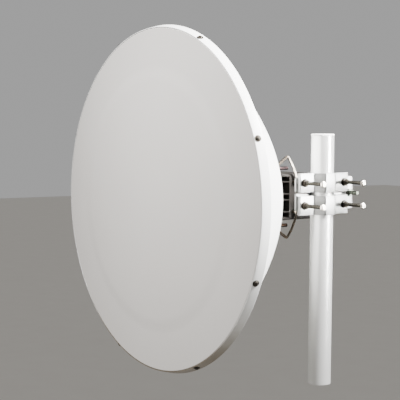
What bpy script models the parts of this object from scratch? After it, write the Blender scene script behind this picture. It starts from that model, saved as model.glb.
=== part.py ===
"""Parabolic dish antenna clamped to a pipe mast.

World frame: metres, +Z up, origin at the centre of the mast's foot. The dish looks along -Y, the pole
clamps face +X. Lengths are real sizes.
"""

import math

import bmesh
import bpy
from mathutils import Matrix, Vector

GAP = 0.0003
MERGE = 0.00001
SHARP_ANGLE = math.radians(30)
BEND_SHARE = 0.45
AXIS_MARK = 0.03

# Mast
MAST_R = 0.03015
MAST_WALL = 0.004
MAST_H = 0.6575
CAP_H = 0.004
CAP_BROW = 0.0004
CAP_CHAMFER = 0.0022
CAP_PLUG = 0.016
CAP_PLUG_SLACK = 0.0006
MAST_STEPS = 48

# Dish, measured along its own axis from the front edge of the rim towards the back
DISH_X = -0.255
DISH_Y = -0.358
DISH_Z = 0.485
DISH_STEPS = 72
FACE_R = 0.4495
RADOME_T = 0.003
RADOME_BULGE = 0.022
BAND_FRONT_R = 0.4523
BAND_BACK_R = 0.4580
BAND_DEPTH = 0.023
BAND_T = 0.0022
BAND_LIP_R = 0.439
BOWL_R = 0.435
BOWL_FLANGE_R = 0.4518
BOWL_POWER = 1.93
BOWL_DEPTH = 0.3180
BOWL_T = 0.003
BOWL_FLAT_R = 0.108
BOWL_HOLE_R = 0.050
BOWL_RINGS = 11
RADOME_RINGS = 8

# Hub and radio housing: depths along world Y from the mast axis, heights from the dish axis
HUB_R = 0.098
HUB_CHAMFER = 0.004
HUB_BACK_Y = -0.0277
HUB_STEPS = 48
FLANGE_Y = (-0.0274, -0.0157)
FLANGE_HALF_X = 0.080
FLANGE_HALF_Z = 0.090
HOUSING_Y = (-0.0154, 0.127)
HOUSING_HALF_X = 0.080
HOUSING_HALF_Z = 0.0642
HOUSING_FLARE = 0.007
HOUSING_FLARE_Y = (-0.0074, 0.024)
POCKET_Y = (-0.008, 0.0353)
POCKET_DEPTH = 0.026
POCKET_HALF_Z = 0.0562
RIB_T = 0.0028
RIB_Z = (-0.0418, -0.0083, 0.0083, 0.0418)
COVER_T = 0.006
COVER_EDGE = 0.0015

# Pole clamps
BOLT_HALF_Y = 0.069
BOLT_Z = (0.5345, 0.4755)
BOLT_R = 0.005
BOLT_SIDES = 16
BOLT_HOLE_R = 0.0056
HOLE_SIDES = 20
HOLE_PAST = 0.006
BOLT_TAIL = 0.004
BOLT_END_X = 0.087
HEX_AF = 0.016
HEX_SIDES = 6
HEX_TURN = math.pi / HEX_SIDES
NUT_H = 0.008
HEAD_H = 0.0065
WASHER_R = 0.0105
WASHER_SIDES = 20
WASHER_T = 0.0016
SHEET_T = 0.004
CLAMP_H = 0.050
CLAMP_HALF_Y = 0.084
CLAMP_FACE_X = 0.010
CLAMP_LIP_X = -0.0020
SADDLE_X = 0.0345
SADDLE_TOP_HALF = 0.017
SADDLE_FOOT_HALF = 0.036
PLATE_FACE_X = -0.0023
PLATE_Y = (-0.0885, 0.1120)
PLATE_Z = (0.4615, 0.5485)
PLATE_FOOT_HALF = 0.043
PLATE_BACK_HALF = 0.015

# Elevation pivot and the arm that carries the antenna
PIVOT_Y = 0.098
PIVOT_Z = 0.505
PIVOT_END_X = 0.031
BOSS_R = 0.018
BOSS_SIDES = 28
TILT_PLATE_X = (-0.0487, -0.0407)
TILT_PLATE_Y = (0.076, 0.128)
TILT_PLATE_Z = (0.459, 0.541)
ARM_Y = (0.078, 0.126)
ARM_Z = (0.461, 0.535)
ARM_T = 0.005
FOOT_X = (-0.1747, -0.1691)
FOOT_Y = (0.077, 0.127)
FOOT_Z = (0.449, 0.537)

# Spring latches, along world Y from the mast axis and up from the dish axis
LATCH_STRIP_X = 0.088
LATCH_PIVOT = (-0.022, 0.0840)
LATCH_TIP = (0.0215, 0.1133)
LATCH_LEG = ((0.0376, 0.0910), (0.0447, 0.0762), (0.0508, 0.0630), (0.0566, 0.0470), (0.0566, 0.0370))
LATCH_BEND = 0.006
LATCH_BEND_STEPS = 4
STRIP_T = 0.004
STRIP_HALF_W = 0.0038
LEG_HALF_W = 0.0030
EYE_R = 0.007
ROUND_STEPS = 10
TRUNNION_R = 0.003
TRUNNION_SIDES = 12
TRUNNION_ROOT = 0.006
TRUNNION_END = 0.002
CROSS_BAR_AT = 0.019
PIN_SIDES = 14
KEEPER_R = 0.004
KEEPER_AT = (0.0493, 0.0420)
KEEPER_END_X = 0.0905
STUD_X = 0.068
STUD_Z = 0.0795
STUD_R = 0.0045
STUD_END_Y = 0.0370


def clear_scene():
    for item in list(bpy.data.objects):
        bpy.data.objects.remove(item, do_unlink=True)


def new_collection(name):
    group = bpy.data.collections.new(name)
    bpy.context.scene.collection.children.link(group)
    return group


clear_scene()
ANTENNA = new_collection("dish_antenna")
CUTTERS = new_collection("cutters")


def material(name, colour, roughness, metallic):
    """Plain surface of one colour."""
    found = bpy.data.materials.get(name)
    if found:
        return found
    surface = bpy.data.materials.new(name)
    surface.use_nodes = True
    shader = surface.node_tree.nodes["Principled BSDF"]
    shader.inputs["Base Color"].default_value = (*colour, 1.0)
    shader.inputs["Roughness"].default_value = roughness
    shader.inputs["Metallic"].default_value = metallic
    surface.diffuse_color = (*colour, 1.0)
    return surface


def radome_skin():
    return material("radome_skin", (0.62, 0.61, 0.59), 0.45, 0.0)


def white_paint(name):
    return material(name, (0.84, 0.84, 0.83), 0.32, 0.0)


def dark_casting(name):
    return material(name, (0.045, 0.045, 0.042), 0.5, 0.2)


def zinc_plate(name):
    return material(name, (0.42, 0.41, 0.38), 0.4, 0.9)


def spring_steel(name):
    return material(name, (0.50, 0.47, 0.42), 0.35, 0.9)


def place(item, parent, surface):
    """Hangs a finished object under its parent empty, keeping its place in the world."""
    item.data.shade_smooth()
    item.data.set_sharp_from_angle(angle=SHARP_ANGLE)
    if item.data.materials:
        item.data.materials[0] = surface
    else:
        item.data.materials.append(surface)
    item.parent = parent
    item.matrix_parent_inverse = Matrix.Translation(-world_origin(parent))
    return item


def world_origin(item):
    spot = Vector(item.location)
    if item.parent:
        spot += item.matrix_parent_inverse.translation + world_origin(item.parent)
    return spot


def axis_point(name, location, parent=None):
    """Empty on a joint's axis."""
    item = bpy.data.objects.new(name, None)
    item.empty_display_size = AXIS_MARK
    ANTENNA.objects.link(item)
    item.location = location
    if parent:
        item.parent = parent
        item.matrix_parent_inverse = Matrix.Translation(-world_origin(parent))
    return item


def mesh_object(name, form, group=ANTENNA):
    data = bpy.data.meshes.new(name)
    form.to_mesh(data)
    form.free()
    item = bpy.data.objects.new(name, data)
    group.objects.link(item)
    return item


def box(name, x_span, y_span, z_span, group=ANTENNA):
    form = bmesh.new()
    bmesh.ops.create_cube(form, size=1.0)
    size = Vector((x_span[1] - x_span[0], y_span[1] - y_span[0], z_span[1] - z_span[0]))
    bmesh.ops.scale(form, vec=size, verts=form.verts)
    item = mesh_object(name, form, group)
    item.location = (sum(x_span) / 2, sum(y_span) / 2, sum(z_span) / 2)
    return item


def rod_along_x(name, x_span, y, z, radius, sides, turn=0.0, group=ANTENNA):
    """Round or many-sided bar whose axis is parallel to X."""
    form = bmesh.new()
    bmesh.ops.create_cone(form, cap_ends=True, segments=sides, radius1=radius, radius2=radius,
                          depth=x_span[1] - x_span[0])
    bmesh.ops.rotate(form, verts=form.verts, cent=(0, 0, 0), matrix=Matrix.Rotation(turn, 3, 'Z'))
    bmesh.ops.rotate(form, verts=form.verts, cent=(0, 0, 0), matrix=Matrix.Rotation(math.pi / 2, 3, 'Y'))
    item = mesh_object(name, form, group)
    item.location = (sum(x_span) / 2, y, z)
    return item


def turned(name, profile, steps, closed):
    """Solid of revolution about the object's Z; the profile (radius, height) runs down its outer side."""
    form = bmesh.new()
    points = [form.verts.new((radius, 0.0, height)) for radius, height in profile]
    for first, second in zip(points, points[1:]):
        form.edges.new((first, second))
    if closed:
        form.edges.new((points[-1], points[0]))
    item = mesh_object(name, form)
    screw = item.modifiers.new("Turn", 'SCREW')
    screw.steps = steps
    screw.render_steps = steps
    screw.use_merge_vertices = True
    screw.merge_threshold = MERGE
    return item


def about_dish_axis(item):
    """Turns an object's Z to point backwards along the dish axis."""
    item.rotation_euler = (-math.pi / 2, 0, 0)
    item.location = (DISH_X, DISH_Y, DISH_Z)
    return item


def boolean(target, tool, kind):
    """Joins a tool to the target or cuts it away."""
    tool.hide_render = True
    tool.display_type = 'WIRE'
    cut = target.modifiers.new(kind.title(), 'BOOLEAN')
    cut.operation = kind
    cut.object = tool
    cut.solver = 'EXACT'


def cut_holes(target, x_span, spots, radius):
    """Round holes along X, whose cutters pass the given span at both ends."""
    past = (x_span[0] - HOLE_PAST, x_span[1] + HOLE_PAST)
    for index, (y, z) in enumerate(spots):
        tool = rod_along_x(f"{target.name}_hole_{index}", past, y, z, radius, HOLE_SIDES, group=CUTTERS)
        boolean(target, tool, 'DIFFERENCE')


def folded_sheet(name, path, height, z_low, thickness, outward):
    """Upright sheet: the path (x, y) is its outer face, raised by its height and thickened inwards."""
    form = bmesh.new()
    points = [form.verts.new((x, y, 0.0)) for x, y in path]
    edges = [form.edges.new(pair) for pair in zip(points, points[1:])]
    raised = bmesh.ops.extrude_edge_only(form, edges=edges)["geom"]
    moved = [piece for piece in raised if isinstance(piece, bmesh.types.BMVert)]
    bmesh.ops.translate(form, vec=(0, 0, height), verts=moved)
    form.normal_update()
    lean = sum(face.normal.x * face.calc_area() for face in form.faces)
    if lean * outward < 0:
        bmesh.ops.reverse_faces(form, faces=form.faces)
    item = mesh_object(name, form)
    item.location = (0, 0, z_low)
    thick = item.modifiers.new("Thickness", 'SOLIDIFY')
    thick.thickness = thickness
    thick.offset = -1.0
    thick.use_even_offset = True
    return item


def outline_solid(name, loops, half_depth, group=ANTENNA):
    """Flat outline (across, up) with its holes as a filled 2D curve, raised both ways and made a mesh."""
    curve = bpy.data.curves.new(name, 'CURVE')
    curve.dimensions = '2D'
    curve.fill_mode = 'BOTH'
    curve.extrude = half_depth
    for loop in loops:
        spline = curve.splines.new('POLY')
        spline.points.add(len(loop) - 1)
        for point, (across, up) in zip(spline.points, loop):
            point.co = (across, up, 0.0, 1.0)
        spline.use_cyclic_u = True
    return curve_to_mesh(name, curve, group)


def curve_to_mesh(name, curve, group=ANTENNA):
    shape = bpy.data.objects.new(name + "_curve", curve)
    group.objects.link(shape)
    bpy.context.view_layer.update()
    graph = bpy.context.evaluated_depsgraph_get()
    data = bpy.data.meshes.new_from_object(shape.evaluated_get(graph))
    bpy.data.objects.remove(shape, do_unlink=True)
    form = bmesh.new()
    form.from_mesh(data)
    bmesh.ops.remove_doubles(form, verts=form.verts, dist=MERGE)
    form.to_mesh(data)
    form.free()
    data.name = name
    item = bpy.data.objects.new(name, data)
    group.objects.link(item)
    return item


def stand_across(item, x):
    """Stands an outline drawn as (Y, Z) upright, with its thickness along X."""
    item.rotation_euler = (math.pi / 2, 0, math.pi / 2)
    item.location = (x, 0, 0)
    return item


# Mast

def mast_pole(parent):
    inner = MAST_R - MAST_WALL
    profile = [(0.0, MAST_WALL), (inner, MAST_WALL), (inner, MAST_H), (MAST_R, MAST_H), (MAST_R, 0.0),
               (0.0, 0.0)]
    return place(turned("mast_pole", profile, MAST_STEPS, False), parent, white_paint("mast_paint"))


def mast_cap(parent):
    low = MAST_H + GAP
    top = low + CAP_H
    edge = MAST_R + CAP_BROW
    plug = MAST_R - MAST_WALL - CAP_PLUG_SLACK
    profile = [(0.0, top), (edge - CAP_CHAMFER, top), (edge, top - CAP_CHAMFER), (edge, low), (plug, low),
               (plug, low - CAP_PLUG), (0.0, low - CAP_PLUG)]
    return place(turned("mast_cap", profile, MAST_STEPS, False), parent, white_paint("cap_paint"))


# Pole clamps

def bolt_spots(z_values):
    return [(side * BOLT_HALF_Y, z) for side in (-1, 1) for z in z_values]


def front_clamp(name, z_mid, parent):
    """Pressed omega strap over the front of the mast, with a lip at each end."""
    half = CLAMP_HALF_Y
    path = [(CLAMP_LIP_X, -half), (CLAMP_FACE_X, -half), (CLAMP_FACE_X, -SADDLE_FOOT_HALF),
            (SADDLE_X, -SADDLE_TOP_HALF), (SADDLE_X, SADDLE_TOP_HALF), (CLAMP_FACE_X, SADDLE_FOOT_HALF),
            (CLAMP_FACE_X, half), (CLAMP_LIP_X, half)]
    item = folded_sheet(name, path, CLAMP_H, z_mid - CLAMP_H / 2, SHEET_T, 1)
    cut_holes(item, (CLAMP_FACE_X - SHEET_T, CLAMP_FACE_X), bolt_spots([z_mid]), BOLT_HOLE_R)
    return place(item, parent, white_paint("clamp_paint"))


def rear_clamp_plate(parent):
    """One pressed plate behind the mast, with a saddle for it."""
    near, far = PLATE_Y
    deep = -SADDLE_X + SHEET_T
    path = [(PLATE_FACE_X, near), (PLATE_FACE_X, -PLATE_FOOT_HALF), (deep, -PLATE_BACK_HALF),
            (deep, PLATE_BACK_HALF), (PLATE_FACE_X, PLATE_FOOT_HALF), (PLATE_FACE_X, far)]
    item = folded_sheet("rear_clamp_plate", path, PLATE_Z[1] - PLATE_Z[0], PLATE_Z[0], SHEET_T, 1)
    spots = bolt_spots(BOLT_Z) + [(PIVOT_Y, PIVOT_Z)]
    cut_holes(item, (PLATE_FACE_X - SHEET_T, PLATE_FACE_X), spots, BOLT_HOLE_R)
    return place(item, parent, white_paint("plate_paint"))


def hex_radius(across_flats):
    return across_flats / math.sqrt(3)


def headed_bolt(name, shank_x, head_x, y, z):
    item = rod_along_x(name, shank_x, y, z, BOLT_R, BOLT_SIDES)
    head = rod_along_x(name + "_head", head_x, y, z, hex_radius(HEX_AF), HEX_SIDES, turn=HEX_TURN,
                       group=CUTTERS)
    boolean(item, head, 'UNION')
    return item


def hex_nut(name, x_low, y, z):
    item = rod_along_x(name, (x_low, x_low + NUT_H), y, z, hex_radius(HEX_AF), HEX_SIDES, turn=HEX_TURN)
    cut_holes(item, (x_low, x_low + NUT_H), [(y, z)], BOLT_R + GAP)
    return item


def flanged_nut(name, x_low, y, z):
    """Hex nut with the round washer that it presses on the sheet."""
    item = rod_along_x(name, (x_low, x_low + WASHER_T), y, z, WASHER_R, WASHER_SIDES)
    body = rod_along_x(name + "_body", (x_low + WASHER_T / 2, x_low + WASHER_T + NUT_H), y, z,
                       hex_radius(HEX_AF), HEX_SIDES, turn=HEX_TURN, group=CUTTERS)
    boolean(item, body, 'UNION')
    cut_holes(item, (x_low, x_low + WASHER_T + NUT_H), [(y, z)], BOLT_R + GAP)
    return item


def clamp_fasteners(parent):
    """Four long bolts through both clamps, each with a nut on the front and one behind."""
    back_x = PLATE_FACE_X - SHEET_T - GAP
    for row, z in zip(("upper", "lower"), BOLT_Z):
        for end, y in (("near", -BOLT_HALF_Y), ("far", BOLT_HALF_Y)):
            label = f"{row}_{end}"
            bolt = headed_bolt("clamp_bolt_" + label, (back_x - NUT_H - BOLT_TAIL, BOLT_END_X - HEAD_H / 2),
                               (BOLT_END_X - HEAD_H, BOLT_END_X), y, z)
            place(bolt, parent, zinc_plate("bolt_zinc"))
            front = flanged_nut("front_nut_" + label, CLAMP_FACE_X + GAP, y, z)
            place(front, parent, zinc_plate("nut_zinc"))
            rear = hex_nut("rear_nut_" + label, back_x - NUT_H, y, z)
            place(rear, parent, zinc_plate("nut_zinc"))


def pivot_fasteners(parent):
    """Bolt that the arm tilts about, with its washer and nut in front of the plate."""
    head_x = TILT_PLATE_X[0] - GAP
    shank_x = (head_x - HEAD_H / 2, PIVOT_END_X)
    bolt = headed_bolt("pivot_bolt", shank_x, (head_x - HEAD_H, head_x), PIVOT_Y, PIVOT_Z)
    place(bolt, parent, zinc_plate("pivot_zinc"))
    nut = flanged_nut("pivot_nut", PLATE_FACE_X + GAP, PIVOT_Y, PIVOT_Z)
    place(nut, parent, zinc_plate("pivot_zinc"))


# Antenna

def radome(parent):
    """Shallow domed cover, bulging forwards."""
    front = []
    for step in range(RADOME_RINGS + 1):
        radius = FACE_R * step / RADOME_RINGS
        front.append((radius, -RADOME_BULGE * (1 - (radius / FACE_R) ** 2)))
    back = [(radius, depth + RADOME_T) for radius, depth in front]
    profile = back + front[::-1]
    item = turned("radome", profile, DISH_STEPS, False)
    return place(about_dish_axis(item), parent, radome_skin())


def rim_band(parent):
    """Hoop round the rim with a lip turned in behind the bowl's edge."""
    lip_front = BAND_DEPTH - BAND_T
    profile = [(BAND_BACK_R, BAND_DEPTH), (BAND_FRONT_R, 0.0), (BAND_FRONT_R - BAND_T, 0.0),
               (BAND_BACK_R - BAND_T, lip_front), (BAND_LIP_R, lip_front), (BAND_LIP_R, BAND_DEPTH)]
    item = turned("rim_band", profile, DISH_STEPS, True)
    return place(about_dish_axis(item), parent, white_paint("band_paint"))


def bowl_depth(radius):
    """Distance of the bowl's back surface behind the rim's front edge."""
    return BAND_DEPTH - BAND_T - GAP + BOWL_DEPTH * (1 - (radius / BOWL_R) ** BOWL_POWER)


def reflector(parent):
    """Deep bowl, flat in the middle where the hub bolts on and flanged at the rim."""
    flat = bowl_depth(BOWL_FLAT_R)
    back = [(BOWL_HOLE_R, flat), (BOWL_FLAT_R, flat)]
    for step in range(1, BOWL_RINGS + 1):
        radius = BOWL_FLAT_R + (BOWL_R - BOWL_FLAT_R) * step / BOWL_RINGS
        back.append((radius, bowl_depth(radius)))
    back.append((BOWL_FLANGE_R, bowl_depth(BOWL_R)))
    front = []
    for index, (radius, depth) in enumerate(back):
        before = back[max(index - 1, 0)]
        after = back[min(index + 1, len(back) - 1)]
        slope = Vector((after[0] - before[0], after[1] - before[1])).normalized()
        front.append((radius + slope.y * BOWL_T, depth - slope.x * BOWL_T))
    front[0] = (BOWL_HOLE_R, flat - BOWL_T)
    front[-1] = (back[-1][0], back[-1][1] - BOWL_T)
    item = turned("reflector", back + front[::-1], DISH_STEPS, True)
    return place(about_dish_axis(item), parent, white_paint("bowl_paint"))


def hub_ring(parent):
    """Round collar between the bowl and the square flange."""
    low = bowl_depth(BOWL_FLAT_R) + GAP
    high = HUB_BACK_Y - DISH_Y
    profile = [(HUB_R - HUB_CHAMFER, high), (HUB_R, high - HUB_CHAMFER), (HUB_R, low), (BOWL_HOLE_R, low),
               (BOWL_HOLE_R, high)]
    item = turned("hub_ring", profile, HUB_STEPS, True)
    return place(about_dish_axis(item), parent, dark_casting("hub_casting"))


def hub_flange(parent):
    """Square plate with four trunnion pins for the latches."""
    item = box("hub_flange", (DISH_X - FLANGE_HALF_X, DISH_X + FLANGE_HALF_X), FLANGE_Y,
               (DISH_Z - FLANGE_HALF_Z, DISH_Z + FLANGE_HALF_Z))
    reach = LATCH_STRIP_X + STRIP_T / 2 + TRUNNION_END
    for row, up in (("upper", 1), ("lower", -1)):
        for hand, side in (("right", 1), ("left", -1)):
            ends = sorted((DISH_X + side * (FLANGE_HALF_X - TRUNNION_ROOT), DISH_X + side * reach))
            pin = rod_along_x(f"{row}_{hand}_trunnion", ends, LATCH_PIVOT[0], DISH_Z + up * LATCH_PIVOT[1],
                              TRUNNION_R, TRUNNION_SIDES, group=CUTTERS)
            boolean(item, pin, 'UNION')
    return place(item, parent, dark_casting("flange_casting"))


def radio_housing(parent):
    """Closed housing, flared towards the flange, with ribbed pockets in both sides."""
    near, far = HOUSING_Y
    side = [(near, HOUSING_HALF_Z + HOUSING_FLARE), (HOUSING_FLARE_Y[0], HOUSING_HALF_Z + HOUSING_FLARE),
            (HOUSING_FLARE_Y[1], HOUSING_HALF_Z), (far, HOUSING_HALF_Z)]
    outline = [(y, -z) for y, z in side] + side[::-1]
    item = stand_across(outline_solid("radio_housing", [outline], HOUSING_HALF_X), DISH_X)
    item.location.z = DISH_Z
    rib_faces = [z + half for z in RIB_Z for half in (-RIB_T / 2, RIB_T / 2)]
    edges = [-POCKET_HALF_Z] + rib_faces + [POCKET_HALF_Z]
    reach = (HOUSING_HALF_X - POCKET_DEPTH, HOUSING_HALF_X + HOLE_PAST)
    for index in range(0, len(edges), 2):
        span = (DISH_Z + edges[index], DISH_Z + edges[index + 1])
        for hand, sign in (("right", 1), ("left", -1)):
            ends = sorted(DISH_X + sign * x for x in reach)
            tool = box(f"pocket_{hand}_{index}", ends, POCKET_Y, span, CUTTERS)
            boolean(item, tool, 'DIFFERENCE')
    return place(item, parent, dark_casting("housing_casting"))


def housing_cover(parent):
    near = HOUSING_Y[1] + GAP
    item = box("housing_rear_cover", (DISH_X - HOUSING_HALF_X, DISH_X + HOUSING_HALF_X),
               (near, near + COVER_T), (DISH_Z - HOUSING_HALF_Z, DISH_Z + HOUSING_HALF_Z))
    soften = item.modifiers.new("Edges", 'BEVEL')
    soften.width = COVER_EDGE
    soften.segments = 1
    return place(item, parent, dark_casting("cover_casting"))


def guide_studs(parent):
    for row, up in (("upper", 1), ("lower", -1)):
        for hand, side in (("right", 1), ("left", -1)):
            start = FLANGE_Y[1] + GAP
            form = bmesh.new()
            bmesh.ops.create_cone(form, cap_ends=True, segments=PIN_SIDES, radius1=STUD_R, radius2=STUD_R,
                                  depth=STUD_END_Y - start)
            item = mesh_object(f"guide_stud_{row}_{hand}", form)
            item.rotation_euler = (-math.pi / 2, 0, 0)
            item.location = (DISH_X + side * STUD_X, (start + STUD_END_Y) / 2, DISH_Z + up * STUD_Z)
            place(item, parent, spring_steel("stud_steel"))


def keeper_pins(parent):
    for row, up in (("upper", 1), ("lower", -1)):
        for hand, side in (("right", 1), ("left", -1)):
            ends = sorted((DISH_X + side * (HOUSING_HALF_X + GAP), DISH_X + side * KEEPER_END_X))
            z = DISH_Z + up * KEEPER_AT[1]
            item = rod_along_x(f"keeper_pin_{row}_{hand}", ends, KEEPER_AT[0], z, KEEPER_R, PIN_SIDES)
            place(item, parent, spring_steel("keeper_steel"))


def rounded_path(corners, radius, steps):
    """Path with each inner corner replaced by a short bend, no longer than a share of its sides."""
    points = [Vector(corners[0])]
    for before, corner, after in zip(corners, corners[1:], corners[2:]):
        corner = Vector(corner)
        back = Vector(before) - corner
        ahead = Vector(after) - corner
        start = corner + back.normalized() * min(radius, back.length * BEND_SHARE)
        end = corner + ahead.normalized() * min(radius, ahead.length * BEND_SHARE)
        for step in range(steps + 1):
            t = step / steps
            points.append(start * (1 - t) ** 2 + corner * 2 * t * (1 - t) + end * t ** 2)
    points.append(Vector(corners[-1]))
    return points


def arc(centre, radius, start, sweep):
    """Points on a circle from a start angle through a sweep."""
    angles = [start + sweep * step / ROUND_STEPS for step in range(ROUND_STEPS + 1)]
    return [(centre.x + radius * math.cos(angle), centre.y + radius * math.sin(angle)) for angle in angles]


def bent_strip(corners):
    """Outline of a strip along bent corners: round eye, wide first leg, narrower second leg, round end."""
    path = rounded_path(corners, LATCH_BEND, LATCH_BEND_STEPS)
    tip = Vector(corners[1])
    left = []
    right = []
    for before, spot, after in zip(path, path[1:], path[2:]):
        along = (after - before).normalized()
        share = min((spot - tip).length / LATCH_BEND, 1) if spot.x > tip.x else 0
        half = STRIP_HALF_W + (LEG_HALF_W - STRIP_HALF_W) * share
        left.append((spot.x - along.y * half, spot.y + along.x * half))
        right.append((spot.x + along.y * half, spot.y - along.x * half))
    first = path[1] - path[0]
    last = path[-1] - path[-2]
    heading = math.atan2(first.y, first.x)
    neck = math.asin(STRIP_HALF_W / EYE_R)
    eye = arc(path[0], EYE_R, heading + neck, 2 * (math.pi - neck))
    end = arc(path[-1], LEG_HALF_W, math.atan2(last.y, last.x) - math.pi / 2, math.pi)
    return eye + right + end + left[::-1]


def latch_frame(name, up, parent):
    """Two bent flat strips joined by a bar, hinged on the trunnions and caught behind the keepers."""
    corners = [(y, up * z) for y, z in (LATCH_PIVOT, LATCH_TIP) + LATCH_LEG]
    start = Vector(corners[0])
    end = Vector(corners[1])
    outline = [(y, up * z) for y, z in bent_strip([(y, up * z) for y, z in corners])]
    hole = arc(start, TRUNNION_R + GAP, 0, 2 * math.pi)[:-1]
    item = outline_solid(name, [outline, hole], STRIP_T / 2)
    other = outline_solid(name + "_left_strip", [outline, hole], STRIP_T / 2, CUTTERS)
    for strip, side in ((item, 1), (other, -1)):
        stand_across(strip, DISH_X + side * LATCH_STRIP_X)
        strip.location.z = DISH_Z
    along = (end - start).normalized() * CROSS_BAR_AT + start
    bar = box(name + "_bar", (DISH_X - LATCH_STRIP_X, DISH_X + LATCH_STRIP_X),
              (-STRIP_HALF_W / 2, STRIP_HALF_W / 2), (-STRIP_T / 2, STRIP_T / 2), CUTTERS)
    bar.location = (DISH_X, along.x, DISH_Z + along.y)
    bar.rotation_euler = (math.atan2(end.y - start.y, end.x - start.x), 0, 0)
    boolean(item, bar, 'UNION')
    boolean(item, other, 'UNION')
    return place(item, parent, spring_steel("strip_steel"))


def latch(row, up, parent):
    hinge = axis_point(row + "_latch_axis", (DISH_X, LATCH_PIVOT[0], DISH_Z + up * LATCH_PIVOT[1]), parent)
    latch_frame(row + "_latch_frame", up, hinge)


def side_arm(parent):
    """Channel that runs from the housing's side to the tilt plate, open at the back."""
    path = [(ARM_Y[1], ARM_Z[0]), (ARM_Y[0], ARM_Z[0]), (ARM_Y[0], ARM_Z[1]), (ARM_Y[1], ARM_Z[1])]
    x_low = FOOT_X[1] + GAP
    x_high = TILT_PLATE_X[0] - GAP
    item = folded_sheet("side_arm", path, x_high - x_low, 0.0, ARM_T, -1)
    item.rotation_euler = (math.pi / 2, 0, math.pi / 2)
    item.location = (x_low, 0, 0)
    return place(item, parent, white_paint("arm_paint"))


def arm_foot(parent):
    item = box("arm_foot_plate", FOOT_X, FOOT_Y, FOOT_Z)
    return place(item, parent, white_paint("arm_paint"))


def tilt_plate(parent):
    item = box("tilt_plate", TILT_PLATE_X, TILT_PLATE_Y, TILT_PLATE_Z)
    cut_holes(item, TILT_PLATE_X, [(PIVOT_Y, PIVOT_Z)], BOLT_HOLE_R)
    return place(item, parent, white_paint("tilt_paint"))


def pivot_boss(parent):
    """Spacer between the tilt plate and the rear clamp plate."""
    span = (TILT_PLATE_X[1] + GAP, PLATE_FACE_X - SHEET_T - GAP)
    item = rod_along_x("pivot_boss", span, PIVOT_Y, PIVOT_Z, BOSS_R, BOSS_SIDES)
    cut_holes(item, span, [(PIVOT_Y, PIVOT_Z)], BOLT_HOLE_R)
    return place(item, parent, white_paint("tilt_paint"))


def build():
    mast_pole(axis_point("mast_foot", (0, 0, 0)))
    root = bpy.data.objects["mast_foot"]
    mast_cap(root)
    swivel = axis_point("azimuth_axis", (0, 0, PIVOT_Z), root)
    front_clamp("upper_front_clamp", BOLT_Z[0], swivel)
    front_clamp("lower_front_clamp", BOLT_Z[1], swivel)
    rear_clamp_plate(swivel)
    clamp_fasteners(swivel)
    pivot_fasteners(swivel)
    tilt = axis_point("elevation_axis", (0, PIVOT_Y, PIVOT_Z), swivel)
    radome(tilt)
    rim_band(tilt)
    reflector(tilt)
    hub_ring(tilt)
    hub_flange(tilt)
    radio_housing(tilt)
    housing_cover(tilt)
    guide_studs(tilt)
    keeper_pins(tilt)
    arm_foot(tilt)
    side_arm(tilt)
    tilt_plate(tilt)
    pivot_boss(tilt)
    latch("upper", 1, tilt)
    latch("lower", -1, tilt)


build()
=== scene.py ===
"""Microwave dish antenna beside its pipe mast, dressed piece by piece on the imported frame."""
import math

import bmesh
import bpy
import numpy as np
from mathutils import Matrix


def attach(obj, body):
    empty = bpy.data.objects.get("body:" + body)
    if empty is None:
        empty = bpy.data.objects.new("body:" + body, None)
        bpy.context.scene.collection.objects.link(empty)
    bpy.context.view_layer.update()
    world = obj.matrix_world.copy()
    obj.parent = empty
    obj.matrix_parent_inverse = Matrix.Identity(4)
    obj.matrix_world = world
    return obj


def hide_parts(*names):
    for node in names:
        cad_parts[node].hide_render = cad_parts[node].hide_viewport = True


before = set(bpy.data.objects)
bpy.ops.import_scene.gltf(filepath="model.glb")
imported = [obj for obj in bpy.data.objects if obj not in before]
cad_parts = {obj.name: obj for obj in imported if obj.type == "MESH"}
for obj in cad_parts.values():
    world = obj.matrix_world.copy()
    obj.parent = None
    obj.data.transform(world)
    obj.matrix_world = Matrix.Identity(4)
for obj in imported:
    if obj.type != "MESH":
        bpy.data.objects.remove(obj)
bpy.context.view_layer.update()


# Front cover. A round of grey ABS, vacuum formed to a very shallow dome with a soft shoulder near
# its edge, trimmed to size and trapped inside the rim band. The sheet keeps a faint satin grain.
DISH_CENTRE = np.array([-0.255, -0.358, 0.485])
DISH_SEGMENTS = 240
COVER_R = 0.4496
COVER_RISE = 0.022
COVER_SHEET = 0.0042
COVER_EDGE = 0.0025
COVER_RINGS = 110
SHOULDER_FROM, SHOULDER_TO, SHOULDER_END = 0.69, 0.78, 0.99
SHOULDER_STEP = 0.0015


def skin_faces(rows, columns, wrap_rows, wrap_columns):
    """Quads between neighbouring grid points, closed on themselves where a direction wraps."""
    r = np.arange(rows if wrap_rows else rows - 1)[:, None]
    c = np.arange(columns if wrap_columns else columns - 1)[None, :]
    r2 = (r + 1) % rows
    c2 = (c + 1) % columns
    corners = [r * columns + c, r * columns + c2, r2 * columns + c2, r2 * columns + c]
    return np.stack(corners, -1).reshape(-1, 4)


def add_piece(name, points, faces, finish, body, slot, stands_for=(), sharp=40.0, caps=()):
    """Mesh of the given points, with seams and poles merged, normals out and smooth shading."""
    shape = bpy.data.meshes.new(name)
    polygons = faces.tolist() + [list(cap) for cap in caps]
    shape.from_pydata(points.reshape(-1, 3).tolist(), [], polygons)
    form = bmesh.new()
    form.from_mesh(shape)
    bmesh.ops.remove_doubles(form, verts=form.verts, dist=2e-6)
    bmesh.ops.recalc_face_normals(form, faces=form.faces)
    form.to_mesh(shape)
    form.free()
    shape.shade_smooth()
    shape.set_sharp_from_angle(angle=math.radians(sharp))
    piece = bpy.data.objects.new(name, shape)
    bpy.context.scene.collection.objects.link(piece)
    shape.materials.append(finish)
    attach(piece, body)
    if stands_for:
        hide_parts(*stands_for)


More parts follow.
